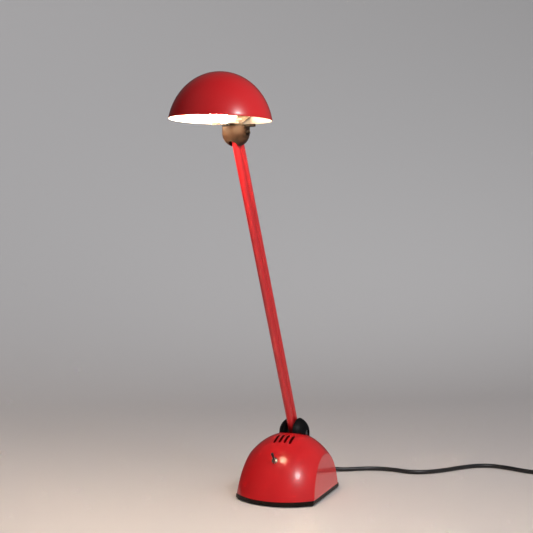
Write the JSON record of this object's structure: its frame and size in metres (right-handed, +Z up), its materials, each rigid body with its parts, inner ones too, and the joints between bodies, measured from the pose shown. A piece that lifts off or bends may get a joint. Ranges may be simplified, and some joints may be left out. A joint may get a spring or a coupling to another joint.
{
  "type": "architect desk lamp",
  "caption": "Desk lamp with a domed metal shade on a long twin-tube arm, tilting at both ends and swivelling on a weighted dome base with a toggle switch.",
  "frame": {"origin": "on the table, under the middle of the base plate", "axes": "+X the lamp's right, -Y its front, where the switch is, +Z up"},
  "size_m": [0.447, 0.4699, 0.465],
  "materials": {
    "red_paint": "glossy enamel",
    "black_plastic": "satin black",
    "black_metal": "satin black enamel",
    "rubber": "soft matte",
    "cord_sheath": "smooth black sheath",
    "steel_screws": "zinc plated",
    "switch_chrome": "bright nickel",
    "brass": "plain",
    "core_steel": "varnished laminations",
    "copper_winding": "enamelled wire",
    "white_plastic": "moulded",
    "lead_insulation": "thin insulation",
    "washer_plastic": "low friction",
    "bracket_metal": "plain sheet",
    "holder_ceramic": "unglazed",
    "bulb_glass": "clear",
    "filament": "glowing coil",
    "pin_metal": "plain wire"
  },
  "bodies": {
    "base": {"base_shell": "red_paint", "base_plate": "black_plastic", "rubber_feet": "rubber", "base_plate_screws": "steel_screws", "transformer_core": "core_steel", "transformer_bobbin": "white_plastic", "primary_winding": "copper_winding", "secondary_winding": "copper_winding", "transformer_spacers": "steel_screws", "transformer_screws": "steel_screws", "transformer_nuts": "steel_screws", "terminal_block": "white_plastic", "terminal_screws": "steel_screws", "cord_clamp": "black_plastic", "inner_cord": "cord_sheath", "strain_relief": "black_plastic", "primary_leads": "lead_insulation", "switch_leads": "lead_insulation", "switch_body": "black_plastic", "switch_terminals": "brass", "switch_bushing": "switch_chrome", "switch_washer": "switch_chrome", "switch_nut": "switch_chrome", "swivel_washer": "washer_plastic", "mains_cord": "cord_sheath", "cord_coil": "cord_sheath", "cord_tie": "black_plastic", "plug_cord": "cord_sheath", "plug_body": "black_plastic", "plug_pins": "brass"},
    "switch_toggle": {"switch_lever": "black_plastic"},
    "turret": {"turret_housing": "black_metal", "swivel_stud": "switch_chrome", "swivel_spring_washer": "steel_screws", "swivel_nut": "steel_screws", "swivel_leads": "lead_insulation", "pivot_bolt": "steel_screws", "pivot_nut": "steel_screws", "pivot_washers": "washer_plastic"},
    "arm": {"arm_profile": "red_paint", "lower_tongue": "red_paint", "upper_tongue": "red_paint", "arm_wires": "lead_insulation"},
    "head": {"joint_cup": "black_metal", "head_bolt": "black_metal", "head_knob": "black_plastic", "head_washers": "washer_plastic", "finger_tab": "black_plastic", "lamp_bracket": "bracket_metal", "bracket_screws": "steel_screws", "lamp_holder": "holder_ceramic", "holder_screws": "steel_screws", "head_leads": "lead_insulation", "bulb_capsule": "bulb_glass", "bulb_filament": "filament", "bulb_pins": "pin_metal", "shade": "red_paint", "shade_rivets": "steel_screws"}
  },
  "joints": [
    {"name": "turret_swivel", "type": "hinge", "parent": "base", "child": "turret", "pos_m": [0, 0.02, 0.0563], "axis": [0, 0, 1], "range_deg": [-150, 165]},
    {"name": "arm_tilt", "type": "hinge", "parent": "turret", "child": "arm", "pos_m": [0, 0.02, 0.06745], "axis": [0.9914, -0.1305, 0], "range_deg": [-52, 28]},
    {"name": "head_tilt", "type": "hinge", "parent": "arm", "child": "head", "pos_m": [-0.01743, -0.11238, 0.40554], "axis": [0.9914, -0.1305, 0], "range_deg": [-40, 27]},
    {"name": "switch_flip", "type": "hinge", "parent": "base", "child": "switch_toggle", "pos_m": [0, -0.04591, 0.04812], "axis": [1, 0, 0], "range_deg": [0, 18]}
  ]
}
